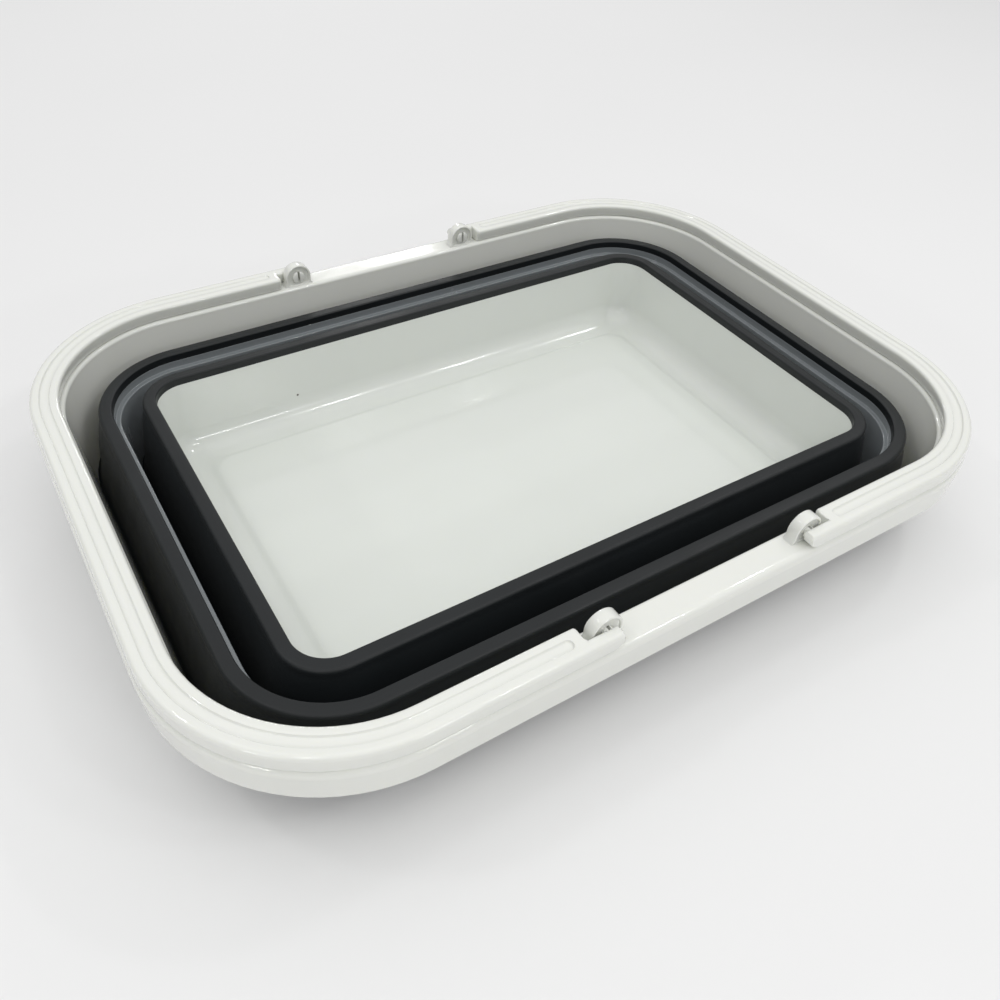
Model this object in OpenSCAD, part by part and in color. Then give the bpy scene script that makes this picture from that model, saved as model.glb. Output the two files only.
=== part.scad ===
// Folding pet bathtub, shown folded flat: a tray, a middle ring and a rim, joined by two rubber
// bellows that turn inside out as the tub is pulled open, and two U-shaped carrying handles.
// The origin is at the middle of the underside, +X is the long axis and +Z is up.

/* [Overall] */
// Inside length of the mouth, measured at the rim's inner edge
mouth_len = 440; // [420:1:460]
// Inside width of the mouth, measured at the rim's inner edge
mouth_wid = 315; // [300:1:340]
// Height of the rim's inner edge above the ground, folded
rim_z = 60; // [58:1:64]
// Wall thickness of the hard plastic mouldings
wall = 2.5; // [2:0.1:3]

/* [Rim] */
// Corner radius of the rim's inner edge
rim_corner = 73; // [70:1:80]
// Width of the flange outside the rim's inner edge
flange_w = 17; // [17:0.5:19]
// Height of the flange's top above the rim's inner edge
flange_top = 4; // [3.5:0.5:4]
// Height of the outer skirt below the rim's inner edge
skirt_h = 14; // [12:0.5:16]
// Depth of the rim's inner wall
rim_depth = 46; // [40:1:48]
// How far the rim's inner wall leans inwards at its foot
rim_draft = 5; // [3:0.5:6]

/* [Middle ring] */
// How far the ring's mouth lies inside the rim's inner edge
ring_inset = 22.5; // [22:0.5:24]
// Corner radius of the ring's mouth
ring_corner = 45.5; // [40:0.5:50]
// Level of the ring's top below the rim's inner edge
ring_top = 9.8; // [9:0.1:11]
// Level of the ring's foot below the rim's inner edge
ring_foot = 50; // [46:1:52]

/* [Tray] */
// How far the tray's mouth lies inside the rim's inner edge
tray_inset = 46.2; // [45.5:0.1:48]
// Corner radius of the tray's mouth
tray_corner = 18; // [18:1:20]
// Level of the tray's top below the rim's inner edge
tray_top = 10.3; // [9:0.1:12]
// Level of the tray's floor below the rim's inner edge
floor_level = 55; // [50:1:55]
// Radius of the fillet between the tray's wall and floor
floor_fillet = 14.5; // [12:0.5:14.5]

/* [Bellows] */
// Width of the rubber band on top of the ring and the tray
band_w = 7.5; // [7:0.1:8]
// Height of the rubber bands
band_h = 4.6; // [4:0.1:5]
// Thickness of the folding rubber walls
skin = 1.6; // [1.2:0.1:1.8]

/* [Handles] */
// Distance of each pivot from the middle of the tub, along its length
pivot_x = 60.5; // [55:0.5:70]
// Height of the pivots above the rim's inner edge
pivot_up = 9.5; // [9.5:0.1:10]
// Height of the handle's top above the rim's inner edge
handle_top = 12.2; // [11.5:0.1:13]
// Radius of the half-round lugs
lug_r = 8.2; // [7.5:0.1:8.5]
// Radius of the split studs that turn in the lugs
stud_r = 2.6; // [2.5:0.1:3]

/* [Hidden] */
$fn = 48;

half_len = mouth_len / 2;
half_wid = mouth_wid / 2;
ring_r0 = ring_corner + ring_inset;   // the ring's corner radius, carried out to inset 0
tray_r0 = tray_corner + tray_inset;   // the tray's corner radius, carried out to inset 0
pivot_z = rim_z + pivot_up;
ledge = 2.8;                          // how far the ring's ledge steps inwards
ring_lean = 4;                        // how far its wall leans inwards below the ledge
ring_foot_in = ring_inset + ledge + ring_lean;
tray_lean = 2.6;                      // how far the tray's wall leans inwards above its fillet
floor_rise = 0.6;                     // how far the middle of the tray's floor stands up
gap = 0.3;                            // room between a moulding's foot and the folding rubber
run = 0.4;                            // running clearance of the handles
inner_edge = 1.7;                     // roundings of the handles' top edges
outer_edge = 2.5;
bore_r = stud_r + 0.1;
head_r = stud_r + 1.4;                // barbed head that keeps a stud in its lug
lug_recess_d = 1.5;                   // depth of the recess that the head snaps into
lug_in = -2.5;                        // the lug's inner and outer faces, as insets
lug_out = -8.9;
arm_in = lug_out - run;               // the handle arm's inner face, beside the lug
arm_end_r = 4.6;                      // rounding of the arm's end about its pivot
block_end = pivot_x + 12;             // where the full-width handle starts
plain_end = pivot_x + 17.5;           // where the track in its top starts
bite = 1.6;                           // width of the tongues that hold the rubber bands
foot_h = rim_z - floor_level - wall;  // height of the foot ring under the tray

// Points on an arc of radius r about (cx, cy), from angle a to angle b.
function arc(cx, cy, r, a, b, n = 6) =
    [for (i = [0 : n]) let (t = a + (b - a) * i / n) [cx + r * cos(t), cy + r * sin(t)]];

// ---- Bands that follow a rounded rectangle ----
// The child is the band's section: x is the inset, the distance inwards from the rim's inner
// edge, and y is the height. Each module below lays it along one stretch of the rectangle.

module band_corner(sx, sy, r0) {
    turn = sx > 0 ? (sy > 0 ? 0 : 270) : (sy > 0 ? 90 : 180);
    translate([sx * (half_len - r0), sy * (half_wid - r0), 0])
        rotate([0, 0, turn])
            rotate_extrude(angle = 90) translate([r0, 0]) mirror([1, 0]) children();
}

module long_stretch(sy, x0, x1) {
    translate([x0, sy * half_wid, 0])
        rotate([90, 0, 90])
            linear_extrude(x1 - x0) scale([-sy, 1]) children();
}

module short_stretch(sx, r0) {
    half = half_wid - r0;
    translate([sx * half_len, half, 0])
        rotate([90, 0, 0])
            linear_extrude(2 * half) scale([-sx, 1]) children();
}

module band(r0) {
    for (sx = [-1, 1]) {
        short_stretch(sx, r0) children();
        for (sy = [-1, 1]) band_corner(sx, sy, r0) children();
    }
    for (sy = [-1, 1]) long_stretch(sy, r0 - half_len, half_len - r0) children();
}

// A U around the short side at sx, open towards the middle, with its ends at |x| = end_x.
module u_band(sx, r0, end_x) {
    side = half_len - r0;
    short_stretch(sx, r0) children();
    for (sy = [-1, 1]) {
        band_corner(sx, sy, r0) children();
        long_stretch(sy, sx > 0 ? end_x : -side, sx > 0 ? side : -end_x) children();
    }
}

// A flat plate with round corners, its edge at the given inset.
module plate(inset, r, z, h) {
    a = half_len - inset;
    b = half_wid - inset;
    translate([0, 0, z]) linear_extrude(h) {
        square([2 * (a - r), 2 * b], center = true);
        square([2 * a, 2 * (b - r)], center = true);
        for (sx = [-1, 1], sy = [-1, 1]) translate([sx * (a - r), sy * (b - r)]) circle(r);
    }
}

// ---- Hard plastic mouldings ----

// Section of the rim: inner wall, flange and outer skirt in one turned-over channel.
module rim_section() {
    edge = flange_top;                // rounding of the flange's inner edge
    outer = 4;                        // rounding of its outer edge
    lean = 0.5;                       // the skirt leans inwards towards its lip
    translate([0, rim_z]) polygon(concat(
        [[rim_draft - wall, -rim_depth], [rim_draft, -rim_depth]],
        arc(-edge, 0, edge, 0, 90),
        arc(outer - flange_w, flange_top - outer, outer, 90, 180),
        [[lean - flange_w, -skirt_h], [lean - flange_w + wall, -skirt_h]],
        [[wall - flange_w, flange_top - wall], [-edge, flange_top - wall], [-wall, -1]]
    ));
}

// One half-round lug with flared feet, and the bore that the stud turns in.
module lug(sx, sy) {
    y_in = half_wid - lug_in;
    y_out = half_wid - lug_out;
    base = rim_z + flange_top - 1;
    flare = 2;
    translate([sx * pivot_x, sy > 0 ? y_out : -y_in, 0]) rotate([90, 0, 0])
        linear_extrude(y_out - y_in) difference() {
            union() {
                translate([0, pivot_z]) circle(lug_r);
                translate([-lug_r, base]) square([2 * lug_r, pivot_z - base]);
                translate([-lug_r - flare, base]) square([2 * (lug_r + flare), 1 + flare]);
            }
            for (s = [-1, 1]) translate([s * (lug_r + flare), base + 1 + flare]) circle(flare);
            translate([0, pivot_z]) circle(bore_r);
        }
}

// The arched recess in a lug's inner face, around the stud's head.
module lug_recess(sx, sy) {
    rib = 1.7;
    y_in = half_wid - lug_in;
    translate([sx * pivot_x, sy > 0 ? y_in + lug_recess_d : -y_in + 1, 0]) rotate([90, 0, 0])
        linear_extrude(lug_recess_d + 1) {
            translate([0, pivot_z]) circle(lug_r - rib);
            translate([rib - lug_r, rim_z + flange_top + 0.6])
                square([2 * (lug_r - rib), pivot_up - flange_top - 0.6]);
        }
}

module rim() {
    color("white") difference() {
        union() {
            band(rim_corner) rim_section();
            for (sx = [-1, 1], sy = [-1, 1]) lug(sx, sy);
        }
        for (sx = [-1, 1], sy = [-1, 1]) lug_recess(sx, sy);
    }
}

// Section of the middle ring: a top shelf under its rubber band, a small ledge and a long wall.
module mid_ring_section() {
    ledge_z = -ring_top - 4.5;
    shelf = ring_inset - band_w + skin + 0.8;
    translate([0, rim_z]) polygon([
        [shelf, -ring_top], [ring_inset - 3.6, -ring_top],
        [ring_inset - 3.6, 2 - ring_top], [ring_inset - 3.6 + bite, 2 - ring_top],
        [ring_inset - 3.6 + bite, -ring_top], [ring_inset, -ring_top],
        [ring_inset, ledge_z + 0.6], [ring_inset + 0.4, ledge_z],
        [ring_inset + ledge - 0.4, ledge_z], [ring_inset + ledge, ledge_z - 0.4],
        [ring_foot_in, -ring_foot], [ring_foot_in - wall, -ring_foot],
        [ring_inset + ledge - wall, ledge_z - 2], [ring_inset - wall, ledge_z],
        [ring_inset - wall, -ring_top - wall], [shelf, -ring_top - wall]
    ]);
}

module mid_ring() {
    color("slategray") band(ring_r0) mid_ring_section();
}

// Section of the tray's side, from the shelf under its rubber band to the start of its floor.
module tray_section() {
    shelf = tray_inset - band_w + skin + 0.8;
    turn_x = tray_inset + tray_lean + floor_fillet;
    turn_y = floor_fillet - floor_level;
    over = 0.5;                       // overlap with the floor plate
    translate([0, rim_z]) polygon(concat(
        [[shelf, -tray_top], [tray_inset - 3.6, -tray_top]],
        [[tray_inset - 3.6, 2 - tray_top], [tray_inset - 3.6 + bite, 2 - tray_top]],
        [[tray_inset - 3.6 + bite, -tray_top], [tray_inset, -tray_top]],
        arc(turn_x, turn_y, floor_fillet, 180, 270, 9),
        [[turn_x + over, -floor_level], [turn_x + over, -floor_level - wall]],
        arc(turn_x, turn_y, floor_fillet + wall, 270, 180, 9),
        [[tray_inset - wall, -tray_top - wall - 1], [tray_inset - wall - 1, -tray_top - wall]],
        [[shelf, -tray_top - wall]]
    ));
}

module foot_section() {
    polygon([[67, foot_h], [67.5, 0], [69.5, 0], [70, foot_h]]);
}

module tray() {
    floor_inset = tray_inset + tray_lean + floor_fillet;
    floor_z = rim_z - floor_level;
    color("white") {
        band(tray_r0) tray_section();
        plate(floor_inset, tray_r0 - floor_inset, floor_z - wall, wall);
        plate(floor_inset + 3.2, 12, floor_z - 1, 1 + floor_rise);
        band(80) foot_section();
    }
}

// ---- Rubber bellows ----

// Section of the rubber band that caps a moulding: its mouth at the given inset, its underside
// at level -top, and a groove over the moulding's tongue.
module band_section(inset, top) {
    shoulder = 3;
    lip = 0.8;
    outer = inset - band_w;
    up = band_h - top;
    translate([0, rim_z]) polygon(concat(
        [[outer, -top]],
        arc(outer + shoulder, up - shoulder, shoulder, 180, 90),
        arc(inset - lip, up - lip, lip, 90, 0, 3),
        [[inset, -top], [inset - 3.6 + bite, -top], [inset - 3.6 + bite, 2 - top]],
        [[inset - 3.6, 2 - top], [inset - 3.6, -top]]
    ));
}

module outer_bellows_band() {
    color("dimgray") band(ring_r0) band_section(ring_inset, ring_top);
}

module inner_bellows_band() {
    color("dimgray") band(tray_r0) band_section(tray_inset, tray_top);
}

// Middle line of a folded rubber wall, as [inset, height]: from under the outer moulding's foot,
// inwards round a bend, and up to the underside of the inner moulding's band.
function fold_line(x0, z0, x1, z1, n) =
    [for (i = [0 : n]) let (t = i / n, u = 1 - t)
        u * u * u * [x0, z0] + 3 * u * u * t * [x0 + 6.5, z0 - 1.4]
        + 3 * u * t * t * [x1 - 7, z1 - 20] + t * t * t * [x1, z1]];

// Unit normal of a line of points at its point i.
function side_of(p, i) =
    let (d = p[min(i + 1, len(p) - 1)] - p[max(i - 1, 0)]) [-d[1], d[0]] / norm(d);

// One turn of a rounded rectangle at the given inset and height.
function rounded_loop(inset, z, r0, n) =
    [for (q = [0 : 3], i = [0 : n]) let (
            a = 90 * (q + i / n),
            sx = (q == 0 || q == 3) ? 1 : -1,
            sy = q < 2 ? 1 : -1)
        [sx * (half_len - r0) + (r0 - inset) * cos(a),
         sy * (half_wid - r0) + (r0 - inset) * sin(a), rim_z + z]];

// A thin closed wall between two rounded rectangles of different corner radius.
module fold_wall(x0, z0, r0, x1, z1, r1) {
    n = 9;                            // steps along the section
    m = 8;                            // steps round each corner
    mid = fold_line(x0, z0, x1, z1, n);
    flat = [for (i = [0 : n]) let (s = side_of(mid, i))
        i == 0 ? [0, sign(s[1])] : i == n ? [sign(s[0]), 0] : s];
    section = concat(
        [for (i = [0 : n]) concat(mid[i] + flat[i] * skin / 2, r0 + (r1 - r0) * i / n)],
        [for (i = [n : -1 : 0]) concat(mid[i] - flat[i] * skin / 2, r0 + (r1 - r0) * i / n)]);
    loop_n = 4 * (m + 1);
    count = len(section);
    polyhedron(
        points = [for (s = section) each rounded_loop(s[0], s[1], s[2], m)],
        faces = [for (k = [0 : count - 1], j = [0 : loop_n - 1])
            let (k2 = (k + 1) % count, j2 = (j + 1) % loop_n)
            each [[k * loop_n + j, k * loop_n + j2, k2 * loop_n + j2],
                  [k * loop_n + j, k2 * loop_n + j2, k2 * loop_n + j]]]);
}

module outer_bellows_wall() {
    color("black") fold_wall(
        rim_draft - wall / 2, -rim_depth - skin / 2 - gap, rim_corner,
        ring_inset - band_w + skin / 2, -ring_top, ring_r0);
}

module inner_bellows_wall() {
    color("black") fold_wall(
        ring_foot_in - wall / 2, -ring_foot - skin / 2 - gap, ring_r0,
        tray_inset - band_w + skin / 2, -tray_top, tray_r0);
}

// ---- Handles ----

// Section of the full-width handle, with a shallow track along its top and a channel underneath.
module handle_section() {
    low = flange_top + run;
    track = 0.7;                      // depth of the track
    translate([0, rim_z]) polygon(concat(
        [[-2, low]],
        arc(-1 - inner_edge, handle_top - inner_edge, inner_edge, 0, 90, 4),
        [[-5.2, handle_top], [-5.6, handle_top - track]],
        [[-10.4, handle_top - track], [-10.8, handle_top]],
        arc(outer_edge - 15.6, handle_top - outer_edge, outer_edge, 90, 180),
        [[-16, low], [-13, low], [-12.5, low + 4], [-5, low + 4], [-4.8, low]]
    ));
}

// Solid section of the handle's ends.
module block_section(x_in, x_out) {
    low = flange_top + run;
    translate([0, rim_z]) polygon(concat(
        [[x_in - 0.4, low]],
        arc(x_in - inner_edge, handle_top - inner_edge, inner_edge, 0, 90, 4),
        arc(x_out + outer_edge, handle_top - outer_edge, outer_edge, 90, 180),
        [[x_out - 0.4, low]]
    ));
}

// The arm beside a lug: rounded about the pivot, so that its end clears the flange as it turns.
module arm(sx, sy) {
    low = flange_top + run;
    y = half_wid - arm_in;
    intersection() {
        long_stretch(sy, sx > 0 ? 0 : -block_end - 1, sx > 0 ? block_end + 1 : 0)
            block_section(arm_in, -15.6);
        translate([sx * pivot_x, 0, 0]) rotate([90, 0, 0])
            linear_extrude(2 * half_wid + 60, center = true) {
                translate([0, pivot_z]) circle(arm_end_r);
                translate([sx > 0 ? 0 : -20, pivot_z - 10]) square([20, 20]);
            }
    }
}

// The split stud that snaps through a lug: a slot makes its tip springy, and its head keeps it in.
module stud(sx, sy) {
    slot = 1.5;
    proud = 0.7;
    y_tip = half_wid - lug_in - proud;
    y_root = half_wid - arm_in + 1;
    len = y_root - y_tip;
    head_t = lug_recess_d + proud - 0.1;
    translate([sx * pivot_x, sy > 0 ? y_root : -y_tip, pivot_z]) rotate([90, 0, 0])
        difference() {
            union() {
                cylinder(h = len, r = stud_r);
                translate([0, 0, sy > 0 ? len - head_t : 0]) cylinder(h = head_t, r = head_r);
            }
            translate([-slot / 2, -10, sy > 0 ? len - 5 : -1]) cube([slot, 20, 6]);
        }
}

module handle(sx) {
    rib_gap = (mouth_wid - 2 * rim_corner) / 6;
    u_band(sx, rim_corner, plain_end) handle_section();
    for (sy = [-1, 1]) {
        long_stretch(sy, sx > 0 ? block_end : -plain_end - 1, sx > 0 ? plain_end + 1 : -block_end)
            block_section(-1, -15.6);
        arm(sx, sy);
        stud(sx, sy);
    }
    // Cross ribs inside the channel along the grip
    for (i = [-3 : 3]) translate([sx * (half_len + 8.8), i * rib_gap, rim_z + flange_top + 3.1])
        cube([9, 1.6, 4.6], center = true);
}

module left_handle() {
    color("whitesmoke") handle(-1);
}

module right_handle() {
    color("whitesmoke") handle(1);
}

tray();
inner_bellows_band();
inner_bellows_wall();
mid_ring();
outer_bellows_band();
outer_bellows_wall();
rim();
left_handle();
right_handle();
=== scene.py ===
"""A folding pet bathtub, shown folded flat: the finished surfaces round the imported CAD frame.

Lengths are in millimetres until a mesh is made. A section is a list of (inset, height) points:
inset is the distance inwards from the rim's inner edge, and height is counted from that edge.
"""

import math

import bpy
import bmesh
from mathutils import Matrix, Vector


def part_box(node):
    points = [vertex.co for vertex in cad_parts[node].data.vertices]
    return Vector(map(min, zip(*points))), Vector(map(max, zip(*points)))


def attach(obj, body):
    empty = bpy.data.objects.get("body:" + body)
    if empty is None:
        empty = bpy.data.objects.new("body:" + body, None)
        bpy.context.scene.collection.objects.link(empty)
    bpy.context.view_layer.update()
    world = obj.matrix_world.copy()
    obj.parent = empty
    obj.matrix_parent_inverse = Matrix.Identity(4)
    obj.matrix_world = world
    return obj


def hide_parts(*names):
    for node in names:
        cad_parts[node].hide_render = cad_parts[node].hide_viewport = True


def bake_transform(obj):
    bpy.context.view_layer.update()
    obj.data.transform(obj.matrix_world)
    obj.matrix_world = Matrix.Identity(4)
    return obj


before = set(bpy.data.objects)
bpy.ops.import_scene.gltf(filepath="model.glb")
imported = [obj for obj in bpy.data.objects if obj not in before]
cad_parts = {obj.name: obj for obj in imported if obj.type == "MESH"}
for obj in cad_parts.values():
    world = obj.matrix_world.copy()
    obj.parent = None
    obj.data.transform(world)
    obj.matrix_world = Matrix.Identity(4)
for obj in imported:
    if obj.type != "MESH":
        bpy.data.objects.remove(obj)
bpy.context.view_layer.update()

MM = 0.001

# ---- Sizes, from the frame and the design's own wall and edge values ----

FLANGE_W = 17.0        # flange outside the rim's inner edge
FLANGE_TOP = 4.0       # flange's top above that edge
SKIRT_H = 14.0         # skirt's lip below it
WALL = 2.5             # hard plastic wall
RIM_CORNER = 73.0      # corner radius of the rim's inner edge
RIM_DEPTH = 46.0
RIM_DRAFT = 5.0

BAND_W = 7.5           # rubber bands on the ring and the tray
BAND_H = 4.6
SKIN = 1.6             # folding rubber walls
RING_INSET = 22.5
RING_R0 = 68.0         # ring's corner radius carried out to inset 0
RING_TOP = -9.8
RING_FOOT = -50.0
RING_FOOT_IN = 29.3
TRAY_INSET = 46.2
TRAY_R0 = 64.2
TRAY_TOP = -10.3
FLOOR = -55.0
FOOT_H = 2.5
FLOOR_FILLET = 15.0
FLOOR_RISE = 1.0       # middle of the tray's floor above its edge
TRAY_LEAN = 2.6

PIVOT_X = 60.5
PIVOT_UP = 9.5
HANDLE_TOP = 12.2
HANDLE_LOW = FLANGE_TOP + 0.4
HANDLE_IN = -1.0
HANDLE_OUT = -15.6
ARM_IN = -9.3
ARM_END_R = 4.6
NOSE_ROUND = 0.6       # rounding of the arm end's upright edges
BLOCK_END = PIVOT_X + 12.0
END_ROUND = 1.6
TRACK_END = PIVOT_X + 17.5
LUG_R = 8.2
LUG_IN = -2.5
LUG_OUT = -8.9
LUG_RECESS = 1.5       # recess in a lug's inner face, and the shallower one in its outer face
LUG_HOLLOW = 0.9
STUD_R = 2.6
STUD_HEAD = 4.0
STUD_SLOT = 1.5
BORE_R = 2.7

RIM_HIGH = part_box("rim")[1]
HALF_LEN = RIM_HIGH.x / MM - FLANGE_W
HALF_WID = RIM_HIGH.y / MM - FLANGE_W
RIM_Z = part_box("tray")[0].z / MM - (FLOOR - WALL - FOOT_H)

SKY_LOW = 0.27         # sky brightness at the horizon and overhead
SKY_HIGH = 0.90
LAMP_SIZE = (0.13, 0.06)
LAMP_WATTS = 1.2
CEILING_LAMPS = [(0.45, -0.95, 1.3), (0.8, -0.85, 1.3), (-0.8, -0.73, 1.35), (1.0, 0.05, 1.35),
                 (-0.9, 0.5, 1.4)]
EDGE_LAMP_SIZE = (0.30, 0.08)
EDGE_LAMP_WATTS = 1.5
EDGE_LAMPS = [(0.2, -1.5, 0.8), (-1.4, -0.75, 0.75), (0.6, 1.5, 0.8)]
SOFTBOX_PLACE = (-0.1, -0.1, 1.6)
SOFTBOX_SIZE = (1.5, 0.9)
SOFTBOX_WATTS = 1.6
LAMP_TARGET = (0, 0, 0.05)

CORNER_STEPS = 22      # faces round each corner of a swept band
LUG_STEPS = 48         # points round a lug, its recess or its bore
GUARD = 0.35           # extra points this far from an edge's rounding keep flats flat

LENS = 31.91           # the camera's focal length, in mm on a 36 mm sensor
CAMERA_PLACE = (-236.4, -329.7, 303.7)      # height counted from the rim's inner edge
CAMERA_RIGHT = (0.84455, -0.53265, 0.05500)
CAMERA_AHEAD = (0.41841, 0.59232, -0.68854)


# ---- Outlines ----

def arc(cx, cz, r, start, end, steps):
    """Points on an arc, angles in degrees."""
    angles = [math.radians(start + (end - start) * i / steps) for i in range(steps + 1)]
    return [(cx + r * math.cos(a), cz + r * math.sin(a)) for a in angles]


def rounded(corners, steps=4, closed=True):
    """A polygon with its corners rounded. Each corner is (inset, height, radius)."""
    out = []
    n = len(corners)
    for i, (x, z, r) in enumerate(corners):
        here = Vector((x, z))
        if r <= 0 or (not closed and i in (0, n - 1)):
            out.append((x, z))
            continue
        before = Vector(corners[i - 1][:2]) - here
        after = Vector(corners[(i + 1) % n][:2]) - here
        half = before.angle(after) / 2
        reach = min(r / math.tan(half), 0.48 * before.length, 0.48 * after.length)
        radius = reach * math.tan(half)
        centre = here + (before.normalized() + after.normalized()).normalized() * (radius / math.sin(half))
        a = here + before.normalized() * reach
        b = here + after.normalized() * reach
        guard_a = here + before.normalized() * min(reach + GUARD, 0.49 * before.length)
        guard_b = here + after.normalized() * min(reach + GUARD, 0.49 * after.length)
        out.append(tuple(guard_a))
        va, vb = a - centre, b - centre
        turn = va.angle_signed(vb)
        for k in range(steps + 1):
            t = -turn * k / steps
            c, s = math.cos(t), math.sin(t)
            out.append((centre.x + va.x * c - va.y * s, centre.y + va.x * s + va.y * c))
        out.append(tuple(guard_b))
    return out


def with_corner(points, r0):
    """The same section with its sweep's corner radius at inset 0 added to each point."""
    return [(x, z, r0) for x, z in points]


def loop_points(inset, z, r0):
    """One turn round a rounded rectangle, counter-clockwise from the middle of the right side."""
    pts = []
    for q in range(4):
        sx = 1 if q in (0, 3) else -1
        sy = 1 if q < 2 else -1
        cx, cy = sx * (HALF_LEN - r0), sy * (HALF_WID - r0)
        r = r0 - inset
        for k in range(CORNER_STEPS + 1):
            a = math.radians(90 * (q + k / CORNER_STEPS))
            pts.append((cx + r * math.cos(a), cy + r * math.sin(a)))
        # Points along the straight that follows, close to its ends and between them
        length = 2 * (HALF_LEN - r0) if q in (0, 2) else 2 * (HALF_WID - r0)
        dx, dy = ((-1, 0), (0, -1), (1, 0), (0, 1))[q]
        x0, y0 = pts[-1]
        near = min(4.0, 0.1 * length)
        for d in (near, length * 0.25, length * 0.5, length * 0.75, length - near):
            pts.append((x0 + dx * d, y0 + dy * d))
    return [(x * MM, y * MM, (RIM_Z + z) * MM) for x, y in pts]


# ---- Mesh making ----

class Shell:
    """A mesh under construction: closed shells are added to it one by one."""

    def __init__(self):
        self.verts = []
        self.faces = []

    def loft(self, loops, ring=False, caps=True):
        """Joins loops of equal count. ring closes last to first; caps close the two ends."""
        base = len(self.verts)
        count = len(loops[0])
        for loop in loops:
            self.verts.extend(loop)
        pairs = len(loops) if ring else len(loops) - 1
        for k in range(pairs):
            a = base + k * count
            b = base + ((k + 1) % len(loops)) * count
            for j in range(count):
                j2 = (j + 1) % count
                self.faces.append((a + j, a + j2, b + j2, b + j))
        if caps and not ring:
            self.faces.append(tuple(base + j for j in reversed(range(count))))
            last = base + (len(loops) - 1) * count
            self.faces.append(tuple(last + j for j in range(count)))

    def band(self, section, ring=True):
        """Sweeps a section of (inset, height, corner radius) points round the tub."""
        self.loft([loop_points(*p) for p in section], ring=ring)

    def build(self, name, material, sharp=40, turn=None):
        """Makes the object: welded, with outward faces, smooth but for its sharp edges."""
        mesh = bpy.data.meshes.new(name)
        mesh.from_pydata(self.verts, [], self.faces)
        bm = bmesh.new()
        bm.from_mesh(mesh)
        bmesh.ops.remove_doubles(bm, verts=bm.verts, dist=1e-6)
        bmesh.ops.dissolve_degenerate(bm, edges=bm.edges, dist=1e-6)
        bmesh.ops.recalc_face_normals(bm, faces=bm.faces)
        if turn is not None:
            bmesh.ops.transform(bm, matrix=turn, verts=bm.verts)
        bm.to_mesh(mesh)
        bm.free()
        for poly in mesh.polygons:
            poly.use_smooth = True
        mesh.set_sharp_from_angle(angle=math.radians(sharp))
        mesh.materials.append(material)
        obj = bpy.data.objects.new(name, mesh)
        bpy.context.scene.collection.objects.link(obj)
        return obj


# ---- Materials ----

def new_material(name):
    mat = bpy.data.materials.new(name)
    mat.use_nodes = True
    tree = mat.node_tree
    return mat, tree, tree.nodes["Principled BSDF"]


def noise(tree, scale, detail=3.0, rough=0.5, seed=0.0):
    """A noise texture in object space, its scale in waves per metre."""
    coord = tree.nodes.new("ShaderNodeTexCoord")
    shift = tree.nodes.new("ShaderNodeMapping")
    shift.inputs["Location"].default_value = (seed, seed * 0.7, -seed)
    tex = tree.nodes.new("ShaderNodeTexNoise")
    tex.inputs["Scale"].default_value = scale
    tex.inputs["Detail"].default_value = detail
    tex.inputs["Roughness"].default_value = rough
    tree.links.new(coord.outputs["Object"], shift.inputs["Vector"])
    tree.links.new(shift.outputs["Vector"], tex.inputs["Vector"])
    return tex.outputs["Fac"]


def ramp(tree, value, low, high, start=0.3, end=0.7):
    """Maps a value between two colours or two greys."""
    node = tree.nodes.new("ShaderNodeValToRGB")
    node.color_ramp.elements[0].position = start
    node.color_ramp.elements[1].position = end
    for element, colour in zip(node.color_ramp.elements, (low, high)):
        element.color = (*colour, 1) if isinstance(colour, tuple) else (colour, colour, colour, 1)
    tree.links.new(value, node.inputs["Fac"])
    return node.outputs["Color"]


def bump(tree, height, distance, strength=1.0, under=None):
    node = tree.nodes.new("ShaderNodeBump")
    node.inputs["Distance"].default_value = distance
    node.inputs["Strength"].default_value = strength
    tree.links.new(height, node.inputs["Height"])
    if under is not None:
        tree.links.new(under, node.inputs["Normal"])
    return node.outputs["Normal"]


def white_plastic(name, colour, gloss, seed, coat=0.45):
    """Moulded polypropylene: milky, glossy, faintly wavy, with fine rub marks."""
    mat, tree, shader = new_material(name)
    dark = tuple(c * 0.972 for c in colour)
    tone = ramp(tree, noise(tree, 9.0, 4.0, 0.6, seed), dark, colour)
    tree.links.new(tone, shader.inputs["Base Color"])
    marks = ramp(tree, noise(tree, 65.0, 6.0, 0.62, seed + 3), gloss * 0.8, gloss * 1.5, 0.4, 0.75)
    tree.links.new(marks, shader.inputs["Roughness"])
    wave = bump(tree, noise(tree, 22.0, 2.0, 0.4, seed + 5), 0.0006, 0.35)
    grain = bump(tree, noise(tree, 450.0, 3.0, 0.5, seed + 8), 0.00002, 0.3, wave)
    tree.links.new(grain, shader.inputs["Normal"])
    shader.inputs["IOR"].default_value = 1.5
    shader.inputs["Coat Weight"].default_value = coat
    shader.inputs["Coat Roughness"].default_value = 0.04
    shader.inputs["Coat IOR"].default_value = 1.5
    shader.inputs["Subsurface Weight"].default_value = 0.12
    shader.inputs["Subsurface Radius"].default_value = (0.004, 0.004, 0.003)
    shader.inputs["Subsurface Scale"].default_value = 1.0
    return mat


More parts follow.
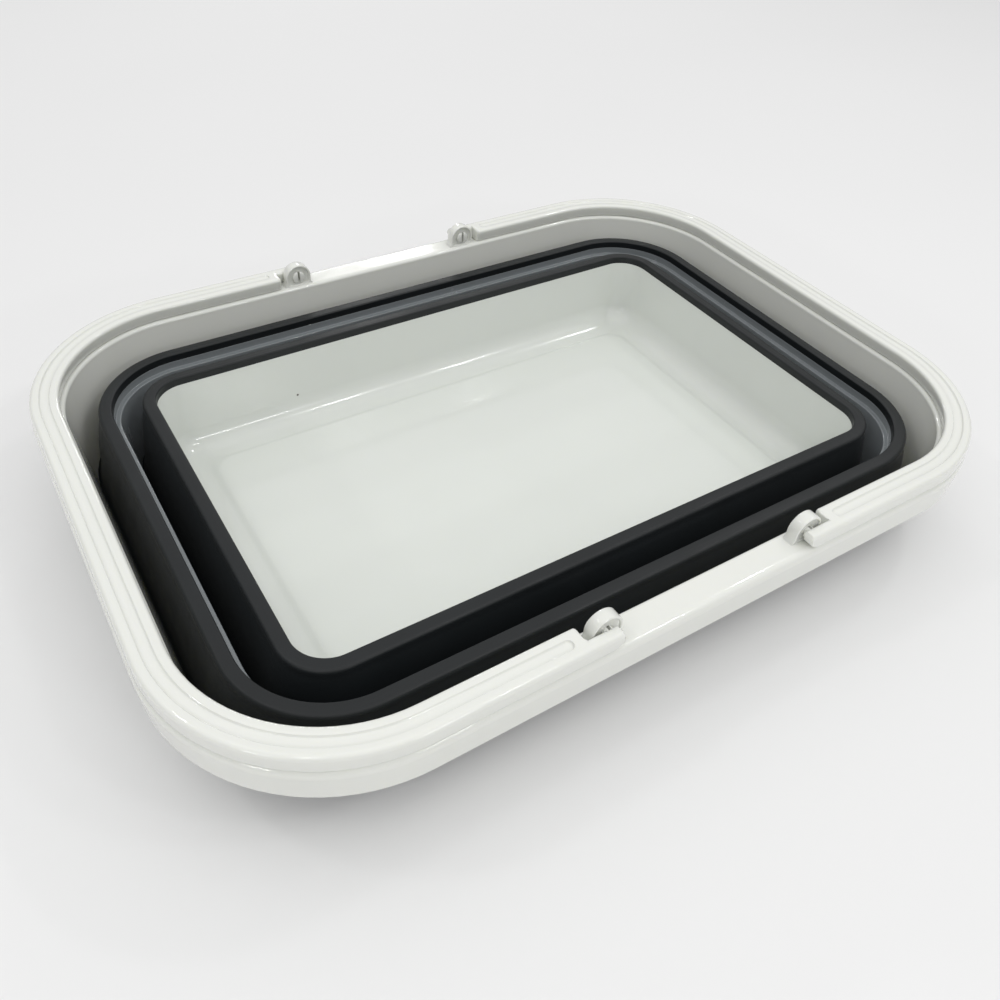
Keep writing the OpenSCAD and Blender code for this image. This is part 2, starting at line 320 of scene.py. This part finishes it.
def add_specks(mat):
    """A few grains of dirt, as on a tray that has been in use."""
    tree = mat.node_tree
    shader = tree.nodes["Principled BSDF"]
    coord = tree.nodes.new("ShaderNodeTexCoord")
    cells = tree.nodes.new("ShaderNodeTexVoronoi")
    cells.inputs["Scale"].default_value = 26.0
    tree.links.new(coord.outputs["Object"], cells.inputs["Vector"])
    spot = ramp(tree, cells.outputs["Distance"], 1.0, 0.0, 0.014, 0.022)
    chosen = ramp(tree, noise(tree, 21.0, 1.0, 0.5, 31.0), 0.0, 1.0, 0.50, 0.56)
    both = tree.nodes.new("ShaderNodeMath")
    both.operation = "MULTIPLY"
    tree.links.new(spot, both.inputs[0])
    tree.links.new(chosen, both.inputs[1])
    mix = tree.nodes.new("ShaderNodeMixRGB")
    mix.inputs["Color2"].default_value = (0.10, 0.09, 0.08, 1)
    clean = shader.inputs["Base Color"].links[0].from_socket
    tree.links.new(both.outputs["Value"], mix.inputs["Fac"])
    tree.links.new(clean, mix.inputs["Color1"])
    tree.links.new(mix.outputs["Color"], shader.inputs["Base Color"])


def dark_rubber(name, colour, seed):
    """Thermoplastic rubber: charcoal, satin, with a fine grain and soft bloom."""
    mat, tree, shader = new_material(name)
    bloom = tuple(c * 1.45 for c in colour)
    tone = ramp(tree, noise(tree, 14.0, 5.0, 0.65, seed), colour, bloom, 0.35, 0.8)
    tree.links.new(tone, shader.inputs["Base Color"])
    satin = ramp(tree, noise(tree, 40.0, 5.0, 0.6, seed + 2), 0.40, 0.52)
    tree.links.new(satin, shader.inputs["Roughness"])
    wave = bump(tree, noise(tree, 18.0, 2.0, 0.5, seed + 4), 0.0008, 0.3)
    grain = bump(tree, noise(tree, 1500.0, 2.0, 0.5, seed + 6), 0.00004, 0.5, wave)
    tree.links.new(grain, shader.inputs["Normal"])
    shader.inputs["IOR"].default_value = 1.42
    shader.inputs["Sheen Weight"].default_value = 0.02
    shader.inputs["Sheen Roughness"].default_value = 0.4
    return mat


TRAY_WHITE = white_plastic("tray_white_plastic", (0.715, 0.74, 0.70), 0.17, 1.0, 0.30)
# The ring's dark blue-grey is partly its own grey and partly painted shade: its colour is darkened to the
# tone of the shaded strip between the two rubber bands.
RING_GREY_AND_SHADE = white_plastic("ring_grey_and_painted_shade", (0.22, 0.24, 0.25), 0.20, 4.0, 0.25)
RIM_WHITE = white_plastic("rim_white_plastic", (0.795, 0.805, 0.76), 0.10, 7.0)
HANDLE_WHITE = white_plastic("handle_white_plastic", (0.805, 0.815, 0.77), 0.12, 11.0)
add_specks(TRAY_WHITE)
INNER_RUBBER = dark_rubber("inner_charcoal_rubber", (0.0060, 0.0078, 0.0088), 2.0)
OUTER_RUBBER = dark_rubber("outer_charcoal_rubber", (0.0060, 0.0078, 0.0088), 6.0)


# ---- Tray ----

def make_tray():
    lean_in = TRAY_INSET + TRAY_LEAN
    turn_x = lean_in + FLOOR_FILLET
    turn_z = FLOOR + FLOOR_FILLET
    under = FLOOR - WALL
    floor_r = 12.0
    shelf = TRAY_INSET - BAND_W + SKIN + 0.8

    def own(points):
        """Floor points, swept with the floor's corner radius whatever their inset."""
        return [(x, z, x + floor_r) for x, z in points]

    def eased(points):
        """Fillet points, whose corner radius runs from the wall's to the floor's."""
        whole = turn_x + floor_r - TRAY_R0
        return [(x, z, TRAY_R0 + whole * min(1, max(0, (x - lean_in) / FLOOR_FILLET))) for x, z in points]

    # The floor's middle stands a little proud, with a soft step all round it
    inside = own([(x, FLOOR + FLOOR_RISE) for x in (140, 110, 85, 74, 70)])
    inside += own([(turn_x + 0.4 + 5.0 * (1 - k / 10),
                    FLOOR + FLOOR_RISE * (0.5 + 0.5 * math.cos(math.pi * k / 10)))
                   for k in range(11)])
    inside += eased(arc(turn_x, turn_z, FLOOR_FILLET, 270, 180, 16))
    slope = (TRAY_TOP - turn_z) / (TRAY_INSET - lean_in)
    inside += with_corner([(lean_in + 1.0 / slope, turn_z + 1.0)], TRAY_R0)
    top = rounded([
        (TRAY_INSET + 8 / -slope, TRAY_TOP - 8, 0), (TRAY_INSET, TRAY_TOP, 0.35),
        (shelf, TRAY_TOP, 0.3),
        (shelf, TRAY_TOP - WALL, 0.4), (TRAY_INSET - WALL, TRAY_TOP - WALL, 0.8),
        (lean_in - WALL, turn_z, 0),
    ], closed=False)
    outside = arc(turn_x, turn_z, FLOOR_FILLET + WALL, 180, 270, 12)
    foot = [(66.5, under), (67.0, under - 0.2), (67.4, under - 2.2), (67.7, under - FOOT_H),
            (69.3, under - FOOT_H), (69.6, under - 2.2), (70.0, under - 0.2), (70.5, under)]
    section = inside + with_corner(top, TRAY_R0) + eased(outside)
    section += [(x, z, 80.0) for x, z in foot]
    section += own([(80, under), (110, under), (140, under)])
    shell = Shell()
    shell.band(section, ring=False)
    tray = shell.build("tray_shell", TRAY_WHITE)
    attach(tray, "tray")
    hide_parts("tray")


# ---- Middle ring ----

def make_ring():
    ledge = 2.8
    ledge_z = RING_TOP - 4.5
    shelf = RING_INSET - BAND_W + SKIN + 0.8
    section = rounded([
        (shelf, RING_TOP, 0.3), (RING_INSET, RING_TOP, 0.4),
        (RING_INSET, ledge_z, 0.5), (RING_INSET + ledge, ledge_z, 0.6),
        (RING_FOOT_IN, RING_FOOT, 0.6), (RING_FOOT_IN - WALL, RING_FOOT, 0.6),
        (RING_INSET + ledge - WALL, ledge_z - 2, 0.8), (RING_INSET - WALL, ledge_z, 0.6),
        (RING_INSET - WALL, RING_TOP - WALL, 0.6), (shelf, RING_TOP - WALL, 0.5),
    ])
    shell = Shell()
    shell.band(with_corner(section, RING_R0))
    ring = shell.build("middle_ring", RING_GREY_AND_SHADE)
    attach(ring, "mid_ring")
    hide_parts("mid_ring")


# ---- Bellows ----

def bezier(p0, p1, p2, p3, t):
    u = 1 - t
    w = (u * u * u, 3 * u * u * t, 3 * u * t * t, t * t * t)
    return Vector([sum(k * p[i] for k, p in zip(w, (p0, p1, p2, p3))) for i in (0, 1)])


def bellows_section(inset, top, r0_in, foot_x, foot_z, r0_out):
    """A closed section: the thick band over the inner moulding's edge, and the folded wall that
    runs down from it, round a bend and under the outer moulding's foot."""
    steps = 34
    ends = ((foot_x, foot_z - SKIN / 2), (inset - BAND_W + SKIN / 2, top))
    controls = ((foot_x + 6.5, foot_z - SKIN / 2 - 1.4), (inset - BAND_W + SKIN / 2 - 7, top - 20))
    line = [bezier(ends[0], *controls, ends[1], k / steps) for k in range(steps + 1)]
    outer, inner = [], []
    for k, p in enumerate(line):
        ahead = line[min(k + 1, steps)] - line[max(k - 1, 0)]
        side = Vector((-ahead.y, ahead.x)).normalized()
        if k == steps:
            side = Vector((-1, 0))
        if k == 0:
            side = Vector((0, 1))
        r0 = r0_out + (r0_in - r0_out) * k / steps
        outer.append((*(p + side * SKIN / 2), r0))
        inner.append((*(p - side * SKIN / 2), r0))
    face = inset - BAND_W
    up = top + BAND_H
    band = rounded([(face, top, 0), (face, up - 0.4, 3.4), (face + 4.6, up, 2.5), (inset, up, 0.9),
                    (inset, top, 0)], 7, closed=False)
    # The foot's end of the wall is a rounded lip
    lip = [(foot_x - SKIN / 2, foot_z - SKIN / 2, r0_out)]
    return lip + outer[:-1] + with_corner(band, r0_in) + [(inset - 0.4, top, r0_in)] + inner[::-1]


def make_bellows(name, material, section, nodes):
    shell = Shell()
    shell.band(section)
    piece = shell.build(name, material)
    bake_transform(piece)
    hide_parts(*nodes)


def make_both_bellows():
    inner = bellows_section(TRAY_INSET, TRAY_TOP, TRAY_R0, RING_FOOT_IN - WALL / 2, RING_FOOT, RING_R0)
    make_bellows("inner_bellows", INNER_RUBBER, inner, ("inner_bellows_band", "inner_bellows_wall"))
    outer = bellows_section(RING_INSET, RING_TOP, RING_R0, RIM_DRAFT - WALL / 2, -RIM_DEPTH, RIM_CORNER)
    make_bellows("outer_bellows", OUTER_RUBBER, outer, ("outer_bellows_band", "outer_bellows_wall"))


# ---- Rim ----

def lug_outline(grow):
    """A half-round lug with flared feet, seen from the side: (x, height) round its pivot."""
    base = FLANGE_TOP - 1.0
    flare = 2.0
    r = LUG_R + grow
    feet_z = FLANGE_TOP + flare
    pts = []
    for k in range(LUG_STEPS):
        a = math.radians(-90 + 360 * k / LUG_STEPS)
        c, s = math.cos(a), math.sin(a)
        if s >= 0:
            pts.append((r * c, PIVOT_UP + r * s))
            continue
        # Below the pivot the sides run straight down and flare into the flange
        t = 1e9 if abs(c) < 1e-6 else r / abs(c)
        x, z = t * c, PIVOT_UP + t * s
        if z < feet_z:
            deep = min((PIVOT_UP - base) / -s, 60)
            x, z = deep * c, base
            edge = r + flare
            if abs(x) > edge:
                side = math.copysign(1, c)
                k_in = min(1.0, max(0.0, (abs(x) - edge) / 6))
                x = side * (edge - flare * k_in)
                z = base + (feet_z - base) * k_in ** 1.4
        pts.append((x, z))
    return pts


def recess_outline(shrink):
    """The arched recess in a lug's inner or outer face."""
    r = LUG_R - 1.35 - shrink
    low = FLANGE_TOP + 0.8 + shrink
    pts = []
    for k in range(LUG_STEPS):
        a = math.radians(-90 + 360 * k / LUG_STEPS)
        c, s = math.cos(a), math.sin(a)
        t = r
        if s < 0:
            side = 1e9 if abs(c) < 1e-6 else r / abs(c)
            down = (PIVOT_UP - low) / -s
            t = min(side, down)
        pts.append((t * c, PIVOT_UP + t * s))
    return pts


def circle_outline(r):
    angles = [math.radians(-90 + 360 * k / LUG_STEPS) for k in range(LUG_STEPS)]
    return [(r * math.cos(a), PIVOT_UP + r * math.sin(a)) for a in angles]


def add_lug(shell, sx, sy):
    edge = 0.6
    deep = LUG_RECESS

    def at(outline, inset):
        return [((sx * PIVOT_X + x) * MM, sy * (HALF_WID - inset) * MM, (RIM_Z + z) * MM)
                for x, z in outline]

    hollow = LUG_OUT + LUG_HOLLOW
    loops = [at(circle_outline(BORE_R), hollow), at(recess_outline(0.45), hollow)]
    loops += [at(recess_outline(0.15), hollow - 0.1), at(recess_outline(0), LUG_OUT + 0.2)]
    loops.append(at(recess_outline(-0.25), LUG_OUT))
    for k in range(4):
        a = math.radians(90 * k / 3)
        loops.append(at(lug_outline(-edge * (1 - math.sin(a))), LUG_OUT + edge * (1 - math.cos(a))))
    for k in range(4):
        a = math.radians(90 * k / 3)
        loops.append(at(lug_outline(-edge * (1 - math.cos(a))), LUG_IN - edge * (1 - math.sin(a))))
    loops.append(at(recess_outline(-0.25), LUG_IN))
    loops.append(at(recess_outline(0), LUG_IN - 0.2))
    loops.append(at(recess_outline(0.15), LUG_IN - deep + 0.1))
    loops.append(at(recess_outline(0.45), LUG_IN - deep))
    loops.append(at(circle_outline(BORE_R + 0.3), LUG_IN - deep))
    loops.append(at(circle_outline(BORE_R), LUG_IN - deep - 0.3))
    shell.loft(loops, ring=True)


def make_rim():
    lean = 0.5
    section = rounded([
        (RIM_DRAFT, -RIM_DEPTH, 0.9), (0.0, 0.0, 0), (0.0, FLANGE_TOP, FLANGE_TOP),
        (-FLANGE_W, FLANGE_TOP, 4.0), (lean - FLANGE_W, -SKIRT_H, 1.0),
        (lean - FLANGE_W + WALL, -SKIRT_H, 1.0), (WALL - FLANGE_W, FLANGE_TOP - WALL, 2.0),
        (-WALL, FLANGE_TOP - WALL, 2.0), (RIM_DRAFT - WALL, -RIM_DEPTH, 0.9),
    ], 8)
    shell = Shell()
    shell.band(with_corner(section, RIM_CORNER))
    for sx in (-1, 1):
        for sy in (-1, 1):
            add_lug(shell, sx, sy)
    rim = shell.build("rim_frame", RIM_WHITE)
    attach(rim, "rim")
    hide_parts("rim")


# ---- Handles ----

def handle_stations():
    """The left handle's path, from its front arm's end round to its back arm's end. Each station
    is (distance of its x from the middle, place), where place maps (inset, height) to a point."""
    side = HALF_LEN - RIM_CORNER
    half = HALF_WID - RIM_CORNER
    pivot_steps = [ARM_END_R * math.sin(math.radians(a)) for a in (90, 84, 76, 66, 54, 40, 20, 0)]
    xs = [PIVOT_X - d for d in pivot_steps]
    xs += [BLOCK_END - 3.5, BLOCK_END - 0.001]
    xs += [BLOCK_END + END_ROUND * (1 - math.cos(math.radians(a))) for a in (0, 15, 30, 45, 60, 75, 90)]
    xs += [BLOCK_END + 2.5]
    xs += [TRACK_END - 0.5] + [TRACK_END + d for d in (0, 0.08, 0.25, 0.6, 1.1, 1.7, 2.4, 3.0, 6.0)]
    xs += [0.5 * (TRACK_END + 6 + side), side - 4]

    def front(x):
        return lambda i, z: (-x * MM, -(HALF_WID - i) * MM, (RIM_Z + z) * MM)

    def back(x):
        return lambda i, z: (-x * MM, (HALF_WID - i) * MM, (RIM_Z + z) * MM)

    def round_corner(sy, deg):
        c, s = math.cos(math.radians(deg)), math.sin(math.radians(deg))
        return lambda i, z: ((-side + (RIM_CORNER - i) * c) * MM, (sy * half + (RIM_CORNER - i) * s) * MM,
                             (RIM_Z + z) * MM)

    def left(y):
        return lambda i, z: (-(HALF_LEN - i) * MM, y * MM, (RIM_Z + z) * MM)

    stations = [(x, front(x)) for x in xs]
    stations += [(side + 1, round_corner(-1, 270 - 90 * k / CORNER_STEPS)) for k in range(CORNER_STEPS + 1)]
    stations += [(side + 1, left(y)) for y in (-half + 4, -half / 2, 0, half / 2, half - 4)]
    stations += [(side + 1, round_corner(1, 180 - 90 * k / CORNER_STEPS)) for k in range(CORNER_STEPS + 1)]
    stations += [(x, back(x)) for x in reversed(xs)]
    return stations


def handle_section(x):
    """The handle's section where its distance from the tub's middle is x. Every section has the
    same points, so the track, the channel and the inner half can fade in along the handle."""
    track_mid, track_half, track_deep = -8.0, 2.7, 1.0
    inner = HANDLE_IN if x >= BLOCK_END else ARM_IN
    past = x - BLOCK_END
    soften = 0.0
    if 0 <= past < END_ROUND:
        soften = END_ROUND - math.sqrt(max(0.0, END_ROUND ** 2 - (END_ROUND - past) ** 2))
    run = x - TRACK_END
    open_w = 0.0
    if run > 0:
        open_w = track_half if run > track_half else math.sqrt(track_half ** 2 - (track_half - run) ** 2)
    deep = track_deep * min(1.0, max(0.0, run) / 0.25)
    channel = 4.0 if run > 3 else 4.0 * max(0.0, run) / 3
    top, low = HANDLE_TOP, HANDLE_LOW
    nose = PIVOT_X - x
    pinch = 0.0
    if nose > 0:
        reach = math.sqrt(max(0.0, ARM_END_R ** 2 - nose ** 2))
        top = min(HANDLE_TOP, PIVOT_UP + reach)
        low = max(HANDLE_LOW, PIVOT_UP - reach)
        near = nose - (ARM_END_R - NOSE_ROUND)
        if near > 0:
            pinch = NOSE_ROUND - math.sqrt(max(0.0, NOSE_ROUND ** 2 - near ** 2))
    inner -= pinch
    outer = HANDLE_OUT + pinch
    edge = min(1.7, 0.45 * (top - low))
    crown = min(2.5, 0.45 * (top - low))
    split = ARM_IN if inner > ARM_IN + 1 else inner - 1.8
    pts = []
    inside_top = top - soften
    pts += [(inner - 1.0 - soften, low + 0.3), (inner - 0.85 - soften, low + 0.7),
            (inner - soften, inside_top - edge - 0.3)]
    pts += arc(inner - edge - soften, inside_top - edge, edge, 0, 90, 6)
    wide = inner - edge - soften
    t_in, t_out = track_mid + open_w, track_mid - open_w
    if inner < ARM_IN + 1:
        t_in = wide - 0.35
        t_out = t_in - 0.5
    pts += [(0.5 * (wide + t_in + 0.3), inside_top), (t_in + 0.3, inside_top if t_in > ARM_IN else top)]
    slope = min(0.5, open_w)
    pts += [(t_in, inside_top - 0.1 * deep), (t_in - slope, inside_top - 0.95 * deep),
            (t_in - slope - 0.2 * slope, inside_top - deep)]
    pts += [(t_out + slope + 0.2 * slope, inside_top - deep),
            (t_out + slope, top - 0.95 * deep - (top - inside_top)),
            (t_out, top - 0.1 * deep - (top - inside_top))]
    pts += [(min(t_out - 0.3, split), top), (outer + crown + 0.4, top)]
    pts += arc(outer + crown, top - crown, crown, 90, 180, 9)
    pts += [(outer - 0.03, top - crown - 0.3), (outer - 0.35, low + 0.7), (outer - 0.3, low + 0.25),
            (outer, low)]
    c_in, c_out = (-4.9, -12.9) if inner > ARM_IN + 1 else (inner - 1.8, outer + 1.8)
    pts += [(c_out - 0.3, low), (c_out, low + 0.12 * channel), (c_out + 0.5, low + 0.9 * channel),
            (c_out + 1.0, low + channel), (c_in - 1.0, low + channel), (c_in - 0.5, low + 0.9 * channel),
            (c_in, low + 0.12 * channel), (c_in + 0.3, low), (inner - 1.3 - soften, low)]
    return pts


def add_stud(shell, sy):
    """A split stud: two half-round prongs whose barbed heads snap into the lug's recess."""
    slot = STUD_SLOT / 2
    neck_end = LUG_IN - LUG_RECESS + 0.1
    tip = LUG_IN + 0.7
    dome = 1.2
    stages = [(ARM_IN - 1.0, STUD_R), (neck_end, STUD_R), (neck_end + 0.05, STUD_R + 0.1),
              (neck_end + 0.35, STUD_HEAD - 0.15), (neck_end + 0.5, STUD_HEAD)]
    stages += [(tip - dome + dome * math.sin(math.radians(a)),
                STUD_HEAD - dome * (1 - math.cos(math.radians(a))))
               for a in (0, 20, 40, 60, 80)]
    for side in (-1, 1):
        loops = []
        for inset, r in stages:
            start = math.degrees(math.asin(slot / r))
            outline = arc(0, 0, r, 90 - start, start - 90, 14)
            loops.append([(-(PIVOT_X - side * x) * MM, sy * (HALF_WID - inset) * MM,
                           (RIM_Z + PIVOT_UP + z) * MM) for x, z in outline])
        shell.loft(loops)


def add_rib(shell, y):
    """A thin cross rib in the channel under the grip, with drafted sides."""
    loops = []
    for z, half in ((HANDLE_LOW + 0.5, 0.6), (HANDLE_LOW + 4.4, 0.9)):
        loops.append([(-(HALF_LEN - i) * MM, (y + s * half) * MM, (RIM_Z + z) * MM)
                      for i, s in ((-4.6, -1), (-4.6, 1), (-13.2, 1), (-13.2, -1))])
    shell.loft(loops)


def make_handle(name, body, turn):
    shell = Shell()
    loops = [[place(i, z) for i, z in handle_section(x)] for x, place in handle_stations()]
    shell.loft(loops)
    for sy in (-1, 1):
        add_stud(shell, sy)
    gap = (2 * HALF_WID - 2 * RIM_CORNER) / 6
    for k in range(-3, 4):
        add_rib(shell, k * gap)
    handle = shell.build(name, HANDLE_WHITE, turn=turn)
    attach(handle, body)
    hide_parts(body)


# ---- Stage, lights and camera ----

def make_stage():
    size = 6.0
    mesh = bpy.data.meshes.new("floor")
    corners = [(-size, -size, 0), (size, -size, 0), (size, size, 0), (-size, size, 0)]
    mesh.from_pydata(corners, [], [(0, 1, 2, 3)])
    floor = bpy.data.objects.new("floor", mesh)
    bpy.context.scene.collection.objects.link(floor)
    mat, tree, shader = new_material("floor_white")
    tone = ramp(tree, noise(tree, 1.5, 2.0, 0.5, 20.0), 0.79, 0.81)
    tree.links.new(tone, shader.inputs["Base Color"])
    shader.inputs["Roughness"].default_value = 0.8
    shader.inputs["Emission Color"].default_value = (1, 1, 1, 1)
    shader.inputs["Emission Strength"].default_value = 0.03
    floor.data.materials.append(mat)


def aim(obj, target):
    obj.rotation_euler = (Vector(target) - obj.location).to_track_quat("-Z", "Y").to_euler()


def add_softbox(name, place, size, watts):
    data = bpy.data.lights.new(name, "AREA")
    data.shape = "RECTANGLE"
    data.size, data.size_y = size
    data.energy = watts
    lamp = bpy.data.objects.new(name, data)
    bpy.context.scene.collection.objects.link(lamp)
    lamp.location = place
    aim(lamp, LAMP_TARGET)


def make_sky():
    """Light from all round, weak at the horizon and strong overhead."""
    world = bpy.data.worlds.new("studio")
    bpy.context.scene.world = world
    world.use_nodes = True
    tree = world.node_tree
    coord = tree.nodes.new("ShaderNodeTexCoord")
    split = tree.nodes.new("ShaderNodeSeparateXYZ")
    tree.links.new(coord.outputs["Generated"], split.inputs["Vector"])
    glow = ramp(tree, split.outputs["Z"], SKY_LOW, SKY_HIGH, 0.15, 0.72)
    tree.links.new(glow, tree.nodes["Background"].inputs["Color"])


def make_lights():
    make_sky()
    add_softbox("overhead", SOFTBOX_PLACE, SOFTBOX_SIZE, SOFTBOX_WATTS)
    # Small lamps, high ones and low ones, for the points and lines of light on the glossy edges
    for k, place in enumerate(CEILING_LAMPS):
        add_softbox(f"ceiling_lamp_{k}", place, LAMP_SIZE, LAMP_WATTS)
    for k, place in enumerate(EDGE_LAMPS):
        add_softbox(f"edge_lamp_{k}", place, EDGE_LAMP_SIZE, EDGE_LAMP_WATTS)


def make_camera():
    """The viewing angle: above the front left corner, looking down across the tub."""
    data = bpy.data.cameras.new("camera")
    data.sensor_width = 36.0
    data.lens = LENS
    data.clip_start = 0.01
    camera = bpy.data.objects.new("camera", data)
    bpy.context.scene.collection.objects.link(camera)
    right = Vector(CAMERA_RIGHT).normalized()
    ahead = Vector(CAMERA_AHEAD)
    ahead = (ahead - right * ahead.dot(right)).normalized()
    up = right.cross(ahead)
    turn = Matrix((right, up, -ahead)).transposed().to_4x4()
    place = Vector(CAMERA_PLACE) + Vector((0, 0, RIM_Z))
    camera.matrix_world = Matrix.Translation(place * MM) @ turn
    bpy.context.scene.camera = camera


make_tray()
make_ring()
make_both_bellows()
make_rim()
make_handle("left_carry_handle", "left_handle", None)
make_handle("right_carry_handle", "right_handle", Matrix.Rotation(math.pi, 4, "Z"))
make_stage()
make_lights()
make_camera()
bpy.context.scene.view_settings.view_transform = "Standard"
